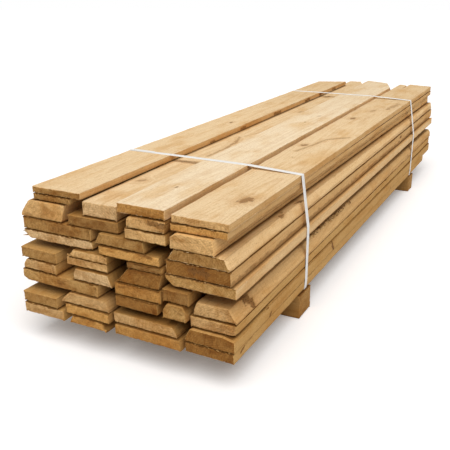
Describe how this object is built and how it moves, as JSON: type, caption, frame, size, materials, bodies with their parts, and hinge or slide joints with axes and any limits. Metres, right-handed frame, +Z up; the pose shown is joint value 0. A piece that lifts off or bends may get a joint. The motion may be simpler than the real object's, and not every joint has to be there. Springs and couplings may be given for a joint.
{
  "type": "lumber stack",
  "caption": "Strapped stack of rough-sawn boards of mixed widths and thicknesses, lying on two bearers that leave room beneath for lifting forks.",
  "frame": {"origin": "on the ground under the middle of the whole stack", "axes": "+Y along the boards, from the near ends to the far ends; +Z up; +X to the right as seen on the near ends"},
  "size_m": [0.8878, 3.215, 0.5828],
  "materials": {
    "board": "rough-sawn softwood, uncoated",
    "bearer": "rough-sawn softwood, uncoated",
    "strap": "white woven polyester strapping"
  },
  "bodies": {
    "root": {"bearer_front": "bearer", "bearer_rear": "bearer", "board_centre_01": "board", "board_centre_02": "board", "board_centre_03": "board", "board_centre_04": "board", "board_centre_05": "board", "board_centre_06": "board", "board_centre_07": "board", "board_centre_08": "board", "board_centre_09": "board", "board_centre_10": "board", "board_centre_11": "board", "board_inner_01": "board", "board_inner_02": "board", "board_left_01": "board", "board_left_02": "board", "board_left_03": "board", "board_left_04": "board", "board_left_05": "board", "board_left_06": "board", "board_left_07": "board", "board_left_08": "board", "board_left_09": "board", "board_left_10": "board", "board_midleft_01": "board", "board_midleft_02": "board", "board_midleft_03": "board", "board_midleft_04": "board", "board_midleft_05": "board", "board_midleft_06": "board", "board_midright_01": "board", "board_midright_02": "board", "board_right_01": "board", "board_right_02": "board", "board_right_03": "board", "board_right_04": "board", "board_right_05": "board", "board_right_06": "board", "board_right_07": "board", "board_right_08": "board", "board_right_09": "board", "board_right_10": "board", "packer_centre": "board", "packer_left_lower": "board", "packer_left_upper": "board", "packer_right": "board", "strap_front": "strap", "strap_rear": "strap"}
  },
  "joints": []
}
